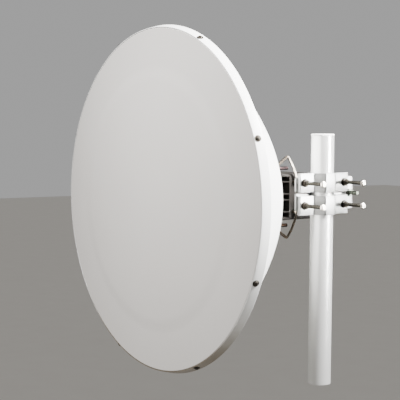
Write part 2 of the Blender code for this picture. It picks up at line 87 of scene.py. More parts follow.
def turned(profile, segments, centre, axis="y"):
    """Profile (radius, height) turned about the named axis: the other two are r cos a and r sin a."""
    angle = np.linspace(0, 2 * math.pi, segments, endpoint=False)[None, :]
    profile = np.asarray(profile, float)
    r = profile[:, 0][:, None]
    along = profile[:, 1][:, None] + 0 * angle
    order = {"x": (1, 2, 0), "y": (0, 2, 1), "z": (0, 1, 2)}[axis]
    points = np.empty(along.shape + (3,))
    for place, value in zip(order, (r * np.cos(angle), r * np.sin(angle), along)):
        points[..., place] = value
    return points + np.asarray(centre)


def hex_to_linear(code):
    """sRGB hex to the linear values that shaders take: c / 12.92 up to 0.04045, and
    ((c + 0.055) / 1.055) ^ 2.4 above it."""
    c = np.array([int(code[i:i + 2], 16) for i in (0, 2, 4)]) / 255.0
    return (*np.where(c <= 0.04045, c / 12.92, ((c + 0.055) / 1.055) ** 2.4).tolist(), 1.0)


def add_node(tree, kind, feeds=(), **settings):
    """One shader node with its settings; feeds maps a socket to a value or to the output that
    drives it."""
    made = tree.nodes.new(kind)
    for key, value in settings.items():
        setattr(made, key, value)
    for socket, source in dict(feeds).items():
        if isinstance(source, bpy.types.NodeSocket):
            tree.links.new(source, made.inputs[socket])
        else:
            made.inputs[socket].default_value = source
    return made


def start_finish(name, **constants):
    """Empty material with its Principled shader; what is the same all over sits on its sockets."""
    finish = bpy.data.materials.new(name)
    finish.use_nodes = True
    tree = finish.node_tree
    shader = tree.nodes["Principled BSDF"]
    for socket, value in constants.items():
        shader.inputs[socket.replace("_", " ")].default_value = value
    place = add_node(tree, "ShaderNodeTexCoord").outputs["Object"]
    return finish, tree, shader, place


def formed_abs():
    """Vacuum-formed ABS, IOR 1.53: satin, with a grain of about 1 mm, drawn at 3 mm so that it shows."""
    finish, tree, shader, place = start_finish("formed_abs_pale_grey", IOR=1.53)
    cloud = add_node(tree, "ShaderNodeTexNoise", {"Vector": place, "Scale": 5.0, "Detail": 4.0})
    tone = add_node(tree, "ShaderNodeMix", {"Factor": cloud.outputs["Fac"], "A": hex_to_linear("D8D3CE"),
                                            "B": hex_to_linear("DEDAD5")}, data_type='RGBA')
    tree.links.new(tone.outputs["Result"], shader.inputs["Base Color"])
    grain = add_node(tree, "ShaderNodeTexNoise", {"Vector": place, "Scale": 330.0, "Detail": 3.0})
    rough = add_node(tree, "ShaderNodeMapRange", {"Value": grain.outputs["Fac"], "To Min": 0.40,
                                                  "To Max": 0.52})
    tree.links.new(rough.outputs["Result"], shader.inputs["Roughness"])
    bump = add_node(tree, "ShaderNodeBump", {"Height": grain.outputs["Fac"], "Strength": 0.10,
                                             "Distance": 0.0004})
    tree.links.new(bump.outputs["Normal"], shader.inputs["Normal"])
    return finish


def cover_profile():
    """Front: y = -rise (1 - u^2) + a 1.5 mm step between two radii that fades out at the rim,
    u = r / R, with a rounded 2.5 mm edge; back: the same curve one sheet behind."""
    r = np.linspace(0.0, COVER_R - COVER_EDGE, COVER_RINGS)
    u = r / COVER_R
    t = np.clip((u - SHOULDER_FROM) / (SHOULDER_TO - SHOULDER_FROM), 0, 1)
    fade = np.clip((SHOULDER_END - u) / (SHOULDER_END - SHOULDER_TO), 0, 1)
    front = np.stack([r, -COVER_RISE * (1 - u ** 2) + SHOULDER_STEP * t * t * (3 - 2 * t) * fade], -1)
    turn = np.linspace(0.15, 0.5 * math.pi, 7)
    edge = np.stack([r[-1] + COVER_EDGE * np.sin(turn), front[-1, 1] + COVER_EDGE * (1 - np.cos(turn))], -1)
    back = front[::-1] + np.array([0.0, COVER_SHEET])
    return np.concatenate([front, edge, back])


profile = cover_profile()
add_piece("front_cover", turned(profile, DISH_SEGMENTS, DISH_CENTRE),
          skin_faces(len(profile), DISH_SEGMENTS, False, True), formed_abs(), "antenna", "radome_skin",
          ["radome"])


# Rim band. A hoop rolled from 2 mm aluminium strip, flared to the back, folded in behind the bowl's
# flange and powder coated white. Its underside is browned downwards, partly by dirt and partly as painted
# shade.
BAND_CORNERS = [(0.4501, 0.0), (0.4518, 0.0), (0.4538, 0.0060), (0.4580, 0.0230), (0.4390, 0.0230),
                (0.4390, 0.0211), (0.4558, 0.0209)]
BAND_BENDS = [0.0006, 0.0030, 0.0060, 0.0016, 0.0008, 0.0008, 0.0010]
# Brown mixed in below a height: partly dirt, partly painted shade where the band faces down.
BAND_DIRT_AND_SHADE = ("6A5C46", 0.262, 0.095, 0.95)


def powder_coat(name, light, shade, gloss=0.30, peel=0.12, dirt_and_shade=None):
    """White polyester powder on metal, IOR 1.5: near-white, faint orange peel of 2 mm drawn at 5 mm.
    dirt_and_shade (hex, light height, dark height, most) browns it downwards between two heights in Z:
    partly dirt, partly painted shade."""
    finish, tree, shader, place = start_finish(name, IOR=1.5)
    cloud = add_node(tree, "ShaderNodeTexNoise", {"Vector": place, "Scale": 9.0, "Detail": 5.0,
                                                  "Roughness": 0.6})
    tone = add_node(tree, "ShaderNodeMix", {"Factor": cloud.outputs["Fac"], "A": hex_to_linear(shade),
                                            "B": hex_to_linear(light)}, data_type='RGBA')
    colour = tone.outputs["Result"]
    if dirt_and_shade:
        dark_tone, light_end, dark_end, most = dirt_and_shade
        height = add_node(tree, "ShaderNodeSeparateXYZ", {"Vector": place}).outputs["Z"]
        patch = add_node(tree, "ShaderNodeMath", {0: cloud.outputs["Fac"], 1: 0.06, 2: -0.03},
                         operation='MULTIPLY_ADD')
        level = add_node(tree, "ShaderNodeMath", {0: height, 1: patch.outputs["Value"]}, operation='ADD')
        cover = add_node(tree, "ShaderNodeMapRange", {"Value": level.outputs["Value"], "From Min": light_end,
                                                      "From Max": dark_end, "To Max": most},
                         interpolation_type='SMOOTHSTEP')
        darker = add_node(tree, "ShaderNodeMix", {"Factor": cover.outputs["Result"], "A": colour,
                                                   "B": hex_to_linear(dark_tone)}, data_type='RGBA')
        colour = darker.outputs["Result"]
    tree.links.new(colour, shader.inputs["Base Color"])
    rough = add_node(tree, "ShaderNodeMapRange", {"Value": cloud.outputs["Fac"], "To Min": gloss - 0.05,
                                                  "To Max": gloss + 0.08})
    tree.links.new(rough.outputs["Result"], shader.inputs["Roughness"])
    dimple = add_node(tree, "ShaderNodeTexNoise", {"Vector": place, "Scale": 200.0, "Detail": 1.0})
    bump = add_node(tree, "ShaderNodeBump", {"Height": dimple.outputs["Fac"], "Strength": peel,
                                             "Distance": 0.0003})
    tree.links.new(bump.outputs["Normal"], shader.inputs["Normal"])
    return finish


def round_corners(corners, radius, steps, closed):
    """Polyline with every corner replaced by a quadratic bend that starts and ends a radius away."""
    corners = np.asarray(corners, float)
    count = len(corners)
    radius = np.broadcast_to(radius, count)
    t = np.linspace(0, 1, steps)[:, None]
    parts = []
    for i in range(count):
        if not closed and i in (0, count - 1):
            parts.append(corners[i][None])
            continue
        before = corners[i - 1] - corners[i]
        after = corners[(i + 1) % count] - corners[i]
        reach = min(radius[i], 0.48 * np.linalg.norm(before), 0.48 * np.linalg.norm(after))
        a = corners[i] + before / np.linalg.norm(before) * reach
        b = corners[i] + after / np.linalg.norm(after) * reach
        parts.append(a * (1 - t) ** 2 + corners[i] * 2 * t * (1 - t) + b * t ** 2)
    return np.concatenate(parts)


band_section = round_corners(BAND_CORNERS, BAND_BENDS, 7, True)
add_piece("rim_hoop", turned(band_section, DISH_SEGMENTS, DISH_CENTRE),
          skin_faces(len(band_section), DISH_SEGMENTS, True, True),
          powder_coat("powder_coat_white_rim", "FAFAF8", "F4F4F1", dirt_and_shade=BAND_DIRT_AND_SHADE), "antenna", "band_paint",
          ["rim_band"])


# Bowl. Spun from 3 mm aluminium over a former, trimmed to a flat flange at the rim, flat in the
# middle for the hub, and powder coated white outside. It narrows in a low-profile curve to the hub.
BOWL_SHEET = 0.003
BOWL_SEAT = 0.0205
BOWL_DEPTH = 0.318
BOWL_R = 0.435
BOWL_POWER = 1.93
BOWL_HOLE_R = 0.050
BOWL_FLAT_R = 0.108
BOWL_EDGE_R = 0.4320
BOWL_RINGS = 110
BOWL_HEEL = [(0.4345, 0.0222), (0.4375, 0.0206), (0.4508, BOWL_SEAT)]


def bowl_back(r):
    """Depth of the outer surface behind the rim: seat + depth (1 - (r / R) ^ 1.93)."""
    return BOWL_SEAT + BOWL_DEPTH * (1 - (r / BOWL_R) ** BOWL_POWER)


curve = np.linspace(BOWL_FLAT_R + 0.0005, BOWL_EDGE_R, BOWL_RINGS)
r = np.concatenate([[BOWL_HOLE_R, BOWL_FLAT_R - 0.0005], curve])
outside = np.stack([r, bowl_back(np.maximum(r, BOWL_FLAT_R))], -1)
outside = np.concatenate([outside, BOWL_HEEL])
slope = np.gradient(outside, axis=0)
slope /= np.linalg.norm(slope, axis=1, keepdims=True)
inside = outside + np.stack([slope[:, 1], -slope[:, 0]], -1) * BOWL_SHEET
bowl_section = np.concatenate([outside, inside[::-1]])
add_piece("spun_bowl", turned(bowl_section, DISH_SEGMENTS, DISH_CENTRE),
          skin_faces(len(bowl_section), DISH_SEGMENTS, True, True),
          powder_coat("powder_coat_white_bowl", "FBFBF9", "F6F5F2", gloss=0.34), "antenna", "bowl_paint",
          ["reflector"])


# Rim screws. Eight small pan-head screws with captive washers go through the band's side, square to
# it, four in each half of the hoop. They are blackened steel, slightly domed, with a cross recess.
SCREW_DEPTH = 0.0083
SCREW_SEAT_R = 0.4545
SCREW_STEP = 43.9
SCREW_SHIFT = -0.3
SCREW_HEAD = {"head_r": 0.0064, "head_h": 0.0036, "washer_r": 0.0083}
WASHER_SHEET = 0.0010
RECESS_DEPTH = 0.0009
HEAD_SINK = 0.0006
HEAD_SIDES = 24
lean_run, lean_depth = np.subtract(BAND_CORNERS[3], BAND_CORNERS[2])
BAND_LEAN = math.atan2(lean_run, lean_depth)
half_hoop = np.radians((np.arange(4) - 1.5) * SCREW_STEP + SCREW_SHIFT)
screw_angles = np.concatenate([half_hoop, math.pi - half_hoop])


def plated_steel(name, light, dark, rough, metal=1.0, gleam=0.5, painted_shade=None):
    """Plated steel: two tones mixed by a 20 mm cloud, with grain of 1 mm in its roughness and bump.
    metal and gleam go down where rust and dirt dull it; painted_shade (hex, light y, dark y) is painted
    shade that darkens it towards a position in Y."""
    finish, tree, shader, place = start_finish(name, Metallic=metal, Specular_IOR_Level=gleam)
    cloud = add_node(tree, "ShaderNodeTexNoise", {"Vector": place, "Scale": 55.0, "Detail": 5.0,
                                                  "Roughness": 0.65})
    spread = add_node(tree, "ShaderNodeMapRange", {"Value": cloud.outputs["Fac"], "From Min": 0.32,
                                                   "From Max": 0.68})
    tone = add_node(tree, "ShaderNodeMix", {"Factor": spread.outputs["Result"], "A": hex_to_linear(dark),
                                            "B": hex_to_linear(light)}, data_type='RGBA')
    colour = tone.outputs["Result"]
    if painted_shade:
        dark_tone, light_end, darker = painted_shade
        along = add_node(tree, "ShaderNodeSeparateXYZ", {"Vector": place}).outputs["Y"]
        cover = add_node(tree, "ShaderNodeMapRange", {"Value": along, "From Min": light_end,
                                                      "From Max": darker})
        darkened = add_node(tree, "ShaderNodeMix", {"Factor": cover.outputs["Result"], "A": colour,
                                                    "B": hex_to_linear(dark_tone)}, data_type='RGBA')
        colour = darkened.outputs["Result"]
    tree.links.new(colour, shader.inputs["Base Color"])
    grain = add_node(tree, "ShaderNodeTexNoise", {"Vector": place, "Scale": 900.0, "Detail": 2.0})
    rub = add_node(tree, "ShaderNodeMapRange", {"Value": grain.outputs["Fac"], "To Min": rough - 0.08,
                                                "To Max": rough + 0.12})
    tree.links.new(rub.outputs["Result"], shader.inputs["Roughness"])
    bump = add_node(tree, "ShaderNodeBump", {"Height": grain.outputs["Fac"], "Strength": 0.15,
                                             "Distance": 0.0002})
    tree.links.new(bump.outputs["Normal"], shader.inputs["Normal"])
    return finish


def pan_head(out, side, across, spot, head_r, head_h, washer_r):
    """Dome r = head_r sin t, h = head_h cos t, with four dents for the cross recess, on a washer
    that is let 0.6 mm into the seat."""
    t = np.linspace(0, 0.5 * math.pi, 9)[:, None]
    a = np.linspace(0, 2 * math.pi, HEAD_SIDES, endpoint=False)[None, :]
    r = head_r * np.sin(t)
    recess = RECESS_DEPTH * (np.cos(2 * a) ** 8) * np.exp(-((r / (0.55 * head_r)) ** 4))
    h = WASHER_SHEET + head_h * np.cos(t) - recess
    r = np.concatenate([r, [[washer_r], [washer_r]]])
    h = np.concatenate([h, [[WASHER_SHEET], [-HEAD_SINK]] + 0 * a])
    local = r[..., None] * np.cos(a)[..., None] * side + r[..., None] * np.sin(a)[..., None] * across
    return local + h[..., None] * out + spot


def add_heads(name, heads, finish, slot):
    """One piece out of several screw heads: each head's faces start after the points before it."""
    rows, columns = heads[0].shape[:2]
    faces = [skin_faces(rows, columns, False, True) + number * rows * columns for number in range(len(heads))]
    add_piece(name, np.stack(heads), np.concatenate(faces), finish, "antenna", slot)


heads = []
for angle in screw_angles:
    radial = np.array([math.cos(angle), 0.0, math.sin(angle)])
    axial = np.array([0.0, 1.0, 0.0])
    out = radial * math.cos(BAND_LEAN) - axial * math.sin(BAND_LEAN)
    along = radial * math.sin(BAND_LEAN) + axial * math.cos(BAND_LEAN)
    spot = DISH_CENTRE + radial * SCREW_SEAT_R + axial * SCREW_DEPTH
    heads.append(pan_head(out, along, np.cross(out, along), spot, **SCREW_HEAD))
add_heads("rim_screws", heads, plated_steel("blackened_screw_steel", "4A4640", "2C2926", 0.42), "nut_zinc")


# Hub. A round cast collar bolted to the bowl, and the square flange that the radio is latched to,
# with a trunnion pin in each side near the top and the bottom. Cast aluminium under dark grey paint.
HUB_CENTRE = DISH_CENTRE * np.array([1.0, 0.0, 1.0])
HUB_R = 0.098
HUB_BORE_R = 0.050
COLLAR_Y = (-0.0404, -0.0277)
COLLAR_BENDS = [0.0006, 0.0012, 0.0040, 0.0006]
COLLAR_SEGMENTS = 128
FLANGE_LOW = (-0.080, -0.0274, -0.090)
FLANGE_HIGH = (0.080, -0.0157, 0.090)
FLANGE_EDGE = 0.0025


def rounded_box(low, high, radius):
    """Box with rounded edges: inner corner + radius x direction, over a sphere's grid of directions."""
    steps = 5
    low, high = np.asarray(low, float), np.asarray(high, float)
    half = (high - low) / 2
    radius = min(radius, *half.tolist())
    turn = np.linspace(0, 0.5 * math.pi, steps)
    around = np.concatenate([turn + q * 0.5 * math.pi for q in range(4)])
    corner = np.repeat(np.array([(1, 1), (-1, 1), (-1, -1), (1, -1)]), steps, axis=0)
    tilt = np.concatenate([turn, turn + 0.5 * math.pi])
    level = np.repeat([1, -1], steps)
    way = np.stack([np.sin(tilt)[:, None] * np.cos(around), np.sin(tilt)[:, None] * np.sin(around),
                    np.cos(tilt)[:, None] + 0 * around], -1)
    hold = np.empty(way.shape)
    hold[..., 0] = corner[:, 0] * (half[0] - radius)
    hold[..., 1] = corner[:, 1] * (half[1] - radius)
    hold[..., 2] = level[:, None] * (half[2] - radius)
    rows, columns = way.shape[:2]
    first = [q * steps for q in range(4)]
    last = [(rows - 1) * columns + c for c in first]
    return hold + way * radius + (low + high) / 2, skin_faces(rows, columns, False, True), (first, last)


def cast_paint(name, light, dark, rough=0.5):
    """Painted sand or die casting, IOR 1.5: dark paint with skin grain of 1.5 mm and pale dust
    clouds of 60 mm. It is dull, so its specular level is low."""
    finish, tree, shader, place = start_finish(name, IOR=1.5, Specular_IOR_Level=0.22)
    cloud = add_node(tree, "ShaderNodeTexNoise", {"Vector": place, "Scale": 17.0, "Detail": 6.0,
                                                  "Roughness": 0.6})
    tone = add_node(tree, "ShaderNodeMix", {"Factor": cloud.outputs["Fac"], "A": hex_to_linear(dark),
                                            "B": hex_to_linear(light)}, data_type='RGBA')
    tree.links.new(tone.outputs["Result"], shader.inputs["Base Color"])
    skin = add_node(tree, "ShaderNodeTexNoise", {"Vector": place, "Scale": 650.0, "Detail": 3.0})
    rub = add_node(tree, "ShaderNodeMapRange", {"Value": skin.outputs["Fac"], "To Min": rough - 0.07,
                                                "To Max": rough + 0.12})
    tree.links.new(rub.outputs["Result"], shader.inputs["Roughness"])
    bump = add_node(tree, "ShaderNodeBump", {"Height": skin.outputs["Fac"], "Strength": 0.35,
                                             "Distance": 0.0003})
    tree.links.new(bump.outputs["Normal"], shader.inputs["Normal"])
    return finish


collar = round_corners([(HUB_BORE_R, COLLAR_Y[0]), (HUB_R, COLLAR_Y[0]), (HUB_R, COLLAR_Y[1]),
                        (HUB_BORE_R, COLLAR_Y[1])], COLLAR_BENDS, 7, True)
add_piece("hub_collar", turned(collar, COLLAR_SEGMENTS, HUB_CENTRE),
          skin_faces(len(collar), COLLAR_SEGMENTS, True, True),
          cast_paint("dark_cast_paint_hub", "4B4B47", "343431"), "antenna", "hub_casting", ["hub_ring"])
points, faces, caps = rounded_box(HUB_CENTRE + FLANGE_LOW, HUB_CENTRE + FLANGE_HIGH, FLANGE_EDGE)
add_piece("latch_flange", points, faces, cast_paint("dark_cast_paint_flange", "3E3C37", "2A2825"),
          "antenna", "flange_casting", ["hub_flange"], caps=caps)


# Radio housing. One die casting with a flared foot, rounded edges and drafted side pockets that are
# divided by thin ribs, closed by a rear cover with six screws. Dark grey paint, made darker still as
# painted shade; the pockets look darker only by their own shade.
HOUSING_HALF = (0.080, 0.0642)
HOUSING_Y = (-0.0154, 0.1270)
HOUSING_EDGE = 0.006
HOUSING_CHAMFER = 0.0008
FLARE = 0.007
FLARE_Y = (-0.0074, 0.024)
POCKET_Y = (-0.008, 0.0353)
POCKET_HALF_Z = 0.0562
POCKET_DEPTH = 0.0258
DRAFT = 0.0014
DRAFT_START = 0.0003
RIBS = np.array([-0.0418, -0.0083, 0.0083, 0.0418])
RIB_HALF = 0.0014
LID_Y = (0.1273, 0.1312)
LID_EDGE = 0.0018
LID_SCREW_SPOTS = [(x, z) for x in (-0.070, 0.070) for z in (-0.0545, 0.0, 0.0545)]
LID_SCREW_HEAD = {"head_r": 0.0042, "head_h": 0.0011, "washer_r": 0.0052}


def housing_half_height(y):
    """Half height: 64.2 mm, widening smoothly by the flare towards the flange."""
    t = np.clip((FLARE_Y[1] - y) / (FLARE_Y[1] - FLARE_Y[0]), 0, 1)
    return HOUSING_HALF[1] + FLARE * t * t * (3 - 2 * t)


def pocket_depth(y, z):
    """Depth x the least of the ramps that rise from each wall and rib over the width of the draft."""
    def inside(distance):
        """0 to 1 over the draft's width, starting a little outside the wall."""
        return np.clip((distance + DRAFT_START) / DRAFT, 0, 1)

    along = np.minimum(inside(y - POCKET_Y[0]), inside(POCKET_Y[1] - y))
    walls = np.minimum(inside(POCKET_HALF_Z - np.abs(z)), along)
    to_rib = np.min(np.abs(z[..., None] - RIBS), axis=-1)
    return POCKET_DEPTH * np.minimum(walls, inside(to_rib - RIB_HALF))


def graded(stops, fine):
    """Sorted positions: the stops, with extra ones a little before and after each."""
    return np.unique(np.round(np.concatenate([stops] + [np.add(stops, d) for d in fine]), 7))


edges_z = np.concatenate([RIBS - RIB_HALF, RIBS + RIB_HALF, [-POCKET_HALF_Z, POCKET_HALF_Z]])
side_z = graded(edges_z, (-0.0016, -0.0011, -0.0006, -0.0003, 0.0003, 0.0006, 0.0011, 0.0016))
side_z = side_z[np.abs(side_z) < HOUSING_HALF[1] - HOUSING_EDGE]
rows_y = graded(POCKET_Y, (-0.0014, -0.0008, -0.0003, 0.0003, 0.0008, 0.0014))
rows_y = np.unique(np.concatenate([rows_y, np.linspace(-0.0060, FLARE_Y[1], 13),
                                   np.linspace(0.040, 0.1255, 16)]))
quarter = np.linspace(0, 0.5 * math.pi, 7)


def housing_ring(y, inset):
    """One ring of the housing's side: flat sides with pockets, flat top and bottom, 6 mm corners."""
    half_z = housing_half_height(y) - inset
    half_x = HOUSING_HALF[0] - inset
    right = np.stack([half_x - pocket_depth(np.full_like(side_z, y), side_z), side_z], -1)
    bend = np.stack([half_x - HOUSING_EDGE + HOUSING_EDGE * np.cos(quarter),
                     half_z - HOUSING_EDGE + HOUSING_EDGE * np.sin(quarter)], -1)
    top = np.concatenate([bend, bend[::-1] * [-1, 1]])
    bottom = top[::-1] * [1, -1]
    ring = np.concatenate([right, top, right[::-1] * [-1, 1], bottom])
    return np.stack([ring[:, 0], np.full(len(ring), y), ring[:, 1]], -1)


inner_rows = [HOUSING_Y[0] + HOUSING_CHAMFER, -0.0120, *rows_y, HOUSING_Y[1] - HOUSING_CHAMFER]
rings = [housing_ring(HOUSING_Y[0], HOUSING_CHAMFER)]
rings += [housing_ring(y, 0.0) for y in inner_rows]
rings += [housing_ring(HOUSING_Y[1], HOUSING_CHAMFER)]
shell = np.stack(rings) + HUB_CENTRE
count = shell.shape[1]
ends = (list(range(count)), list(range((len(rings) - 1) * count, len(rings) * count)))
# The housing's paint is darker than the real grey: partly dark paint, partly painted shade.
add_piece("radio_body", shell, skin_faces(len(rings), count, False, True),
          cast_paint("dark_cast_paint_radio_painted_shade", "1F1B17", "13110F", 0.66), "antenna", "housing_casting",
          ["radio_housing"], sharp=35.0, caps=ends)
points, faces, caps = rounded_box(HUB_CENTRE + (-HOUSING_HALF[0], LID_Y[0], -HOUSING_HALF[1]),
                                  HUB_CENTRE + (HOUSING_HALF[0], LID_Y[1], HOUSING_HALF[1]), LID_EDGE)
add_piece("rear_lid", points, faces, cast_paint("dark_cast_paint_lid", "2A2723", "1A1816", 0.58),
          "antenna", "cover_casting", ["housing_rear_cover"], caps=caps)
out, along, up = np.array([0.0, 1.0, 0.0]), np.array([1.0, 0.0, 0.0]), np.array([0.0, 0.0, 1.0])
heads = [pan_head(out, along, up, HUB_CENTRE + (x, LID_Y[1], z), **LID_SCREW_HEAD)
         for x, z in LID_SCREW_SPOTS]
add_heads("rear_lid_screws", heads, plated_steel("stainless_screw_steel", "B9B5AC", "8F8B83", 0.34),
          "stud_steel")


# Guide studs, keeper pins and trunnions. The studs stand on the flange above and below the radio, the
# keepers hold the latches' ends, and the latches turn on the trunnions. Turned steel, chamfered ends.
STUD_R = 0.0050
STUD_Y = (-0.0154, 0.0370)
STUD_CHAMFER = 0.0008
STUD_X, STUD_Z = 0.068, 0.0795
KEEPER = [(0.0, 0.0803), (0.0040, 0.0803), (0.0040, 0.0893), (0.0032, 0.0901), (0.0, 0.0905)]
KEEPER_Y, KEEPER_Z = 0.0493, 0.0420
TRUNNION = [(0.0, 0.0790), (0.0030, 0.0790), (0.0030, 0.0917), (0.0026, 0.0920), (0.0, 0.0920)]
LATCH_PIVOT = np.array([-0.022, 0.0840])
ROWS = (("upper", 1), ("lower", -1))
HANDS = (("right", 1), ("left", -1))


def pin_profile(radius, low, high):
    """Side of a turned pin: flat end, chamfer, straight, chamfer, flat end."""
    return [(0.0, low), (radius - STUD_CHAMFER, low), (radius, low + STUD_CHAMFER),
            (radius, high - STUD_CHAMFER), (radius - STUD_CHAMFER, high), (0.0, high)]


def add_pin(name, profile, sides, centre, axis, finish, slot, stands_for=()):
    """A profile turned about its axis into one pin on the antenna."""
    add_piece(name, turned(profile, sides, centre, axis), skin_faces(len(profile), sides, False, True),
              finish, "antenna", slot, stands_for, 30.0)


# The lower studs take a darker copy of the studs' steel as painted shade.
stud_finish = {"upper": plated_steel("dull_stainless_studs", "47393A", "2E2524", 0.44),
               "lower": plated_steel("stainless_studs_lower_painted_shade", "2E231C", "19130F", 0.50)}
keeper_metal = plated_steel("dull_stainless_keepers", "6A6257", "463F37", 0.40)
for row, up in ROWS:
    for hand, side in HANDS:
        label = row + "_" + hand
        add_pin("stud_" + label, pin_profile(STUD_R, *STUD_Y), 32,
                HUB_CENTRE + (side * STUD_X, 0.0, up * STUD_Z), "y", stud_finish[row], "stud_steel",
                ["guide_stud_" + label])
        add_pin("keeper_" + label, [(r, side * x) for r, x in KEEPER], 32,
                HUB_CENTRE + (0.0, KEEPER_Y, up * KEEPER_Z), "x", keeper_metal, "keeper_steel",
                ["keeper_pin_" + label])
        add_pin("trunnion_" + label, [(r, side * x) for r, x in TRUNNION], 24,
                HUB_CENTRE + (0.0, LATCH_PIVOT[0], up * LATCH_PIVOT[1]), "x", keeper_metal,
                "flange_casting")


# Spring latches. Each is a frame of two bent flat strips and a bar, hinged on the trunnions; the
# strips' ends snap behind the keeper pins. Stamped spring steel with rounded edges, dulled by weather.
# The lower latches' darker copy of the steel is painted shade, and so is the upper strips' darker leg.
LATCH_TIP = np.array([0.0215, 0.1133])
LATCH_LEG = [(0.0376, 0.0910), (0.0447, 0.0762), (0.0508, 0.0630), (0.0566, 0.0470), (0.0566, 0.0370)]
LATCH_BEND = 0.006
STRIP_X = 0.088
STRIP_HALF_SHEET = 0.002
STRIP_EDGE = 0.0005
STRIP_HALF_W, LEG_HALF_W = 0.0038, 0.0029
EYE_R = 0.007
BAR_AT = 0.019
BAR_END_X = 0.0862
BAR_HALF = (0.0019, 0.0020)
BAR_EDGE = 0.0003
BAR_SHAPE = ((-1, -0.6), (-0.6, -1), (0.6, -1), (1, -0.6), (1, 0.6), (0.6, 1), (-0.6, 1), (-1, 0.6))


def bent_strip(corners):
    """Outline: the bent centre line offset by +-half width, which narrows past the tip, from a round
    eye (centre + eye radius (cos a, sin a)) to a half-round end."""
    path = round_corners(corners, LATCH_BEND, 8, False)
    way = np.gradient(path, axis=0)
    way /= np.linalg.norm(way, axis=1, keepdims=True)
    side = np.stack([-way[:, 1], way[:, 0]], -1)
    reach = np.linalg.norm(path - corners[1], axis=1)
    share = np.where(path[:, 0] > corners[1][0], np.clip(reach / LATCH_BEND, 0, 1), 0.0)[:, None]
    half = STRIP_HALF_W + (LEG_HALF_W - STRIP_HALF_W) * share
    neck = math.asin(STRIP_HALF_W / EYE_R)
    turn = math.atan2(way[0, 1], way[0, 0]) + np.linspace(neck, 2 * math.pi - neck, 24)
    eye = path[0] + EYE_R * np.stack([np.cos(turn), np.sin(turn)], -1)
    turn = math.atan2(way[-1, 1], way[-1, 0]) + np.linspace(-0.5 * math.pi, 0.5 * math.pi, 11)
    end = path[-1] + LEG_HALF_W * np.stack([np.cos(turn), np.sin(turn)], -1)
    return np.concatenate([eye, (path - side * half)[1:-1], end, (path + side * half)[1:-1][::-1]])


def plate_rings(outline, x_low, x_high, edge):
    """Flat piece across X: the outline (y, z) in four rings, the outer two drawn in by `edge`."""
    tangent = np.roll(outline, -1, axis=0) - np.roll(outline, 1, axis=0)
    normal = np.stack([tangent[:, 1], -tangent[:, 0]], -1)
    normal /= np.maximum(np.linalg.norm(normal, axis=1, keepdims=True), 1e-9)
    after = np.roll(outline, -1, axis=0)
    normal *= np.sign(np.sum(outline[:, 0] * after[:, 1] - outline[:, 1] * after[:, 0]))
    rings = []
    for x, draw in ((x_low, edge), (x_low + edge, 0.0), (x_high - edge, 0.0), (x_high, edge)):
        rings.append(np.column_stack([np.full(len(outline), x), outline - normal * draw]))
    count = len(outline)
    caps = (range(count), range(3 * count, 4 * count))
    return np.stack(rings) + HUB_CENTRE, skin_faces(4, count, False, True), caps


# Upper strips: painted shade darkens the leg nearer the flange. Lower strips: a darker copy of the steel as
# painted shade.
strip_finish = {"upper": plated_steel("spring_strip_upper_painted_shade", "BDB5A7", "938B7E", 0.42,
                                      painted_shade=("38332D", 0.028, 0.019)),
                "lower": plated_steel("spring_strip_lower_painted_shade", "292014", "17120B", 0.70, metal=0.0,
                                      gleam=0.1)}
for row, up in ROWS:
    strip_metal = strip_finish[row]
    flip = np.array([1.0, up])
    outline = bent_strip(np.array([LATCH_PIVOT, LATCH_TIP] + LATCH_LEG)) * flip
    for hand, side in HANDS:
        points, faces, caps = plate_rings(outline, side * STRIP_X - STRIP_HALF_SHEET,
                                          side * STRIP_X + STRIP_HALF_SHEET, STRIP_EDGE)
        add_piece(f"{row}_latch_strip_{hand}", points, faces, strip_metal, row + "_latch",
                  "strip_steel", [row + "_latch_frame"], 30.0, caps)
    way = (LATCH_TIP - LATCH_PIVOT) / np.linalg.norm(LATCH_TIP - LATCH_PIVOT)
    across = np.array([-way[1], way[0]])
    middle = LATCH_PIVOT + way * BAR_AT
    bar = np.array([middle + way * a * BAR_HALF[0] + across * b * BAR_HALF[1] for a, b in BAR_SHAPE]) * flip
    points, faces, caps = plate_rings(bar, -BAR_END_X, BAR_END_X, BAR_EDGE)
    add_piece(row + "_latch_bar", points, faces, strip_metal, row + "_latch", "strip_steel", (), 30.0, caps)


# Mast. A length of 60.3 mm steel pipe, galvanised smooth under clear lacquer, closed by an end plate
# at its foot and a moulded cap on top. Drawing lines run along it, barely visible in the zinc.
PIPE_R = 0.03015
PIPE_TOP = 0.6575
PIPE_WALL = 0.004
PIPE_EDGE = 0.0006
PIPE_SEGMENTS = 160
CAP_BASE = PIPE_TOP + 0.0003
CAP_SEGMENTS = 128
CAP_SECTION = [(0.0, 0.0040), (0.0303, 0.0040), (0.0305, 0.0), (0.0256, 0.0), (0.0255, -0.0160),
               (0.0, -0.0160)]
CAP_BENDS = [0.0, 0.0022, 0.0004, 0.0003, 0.0015, 0.0]


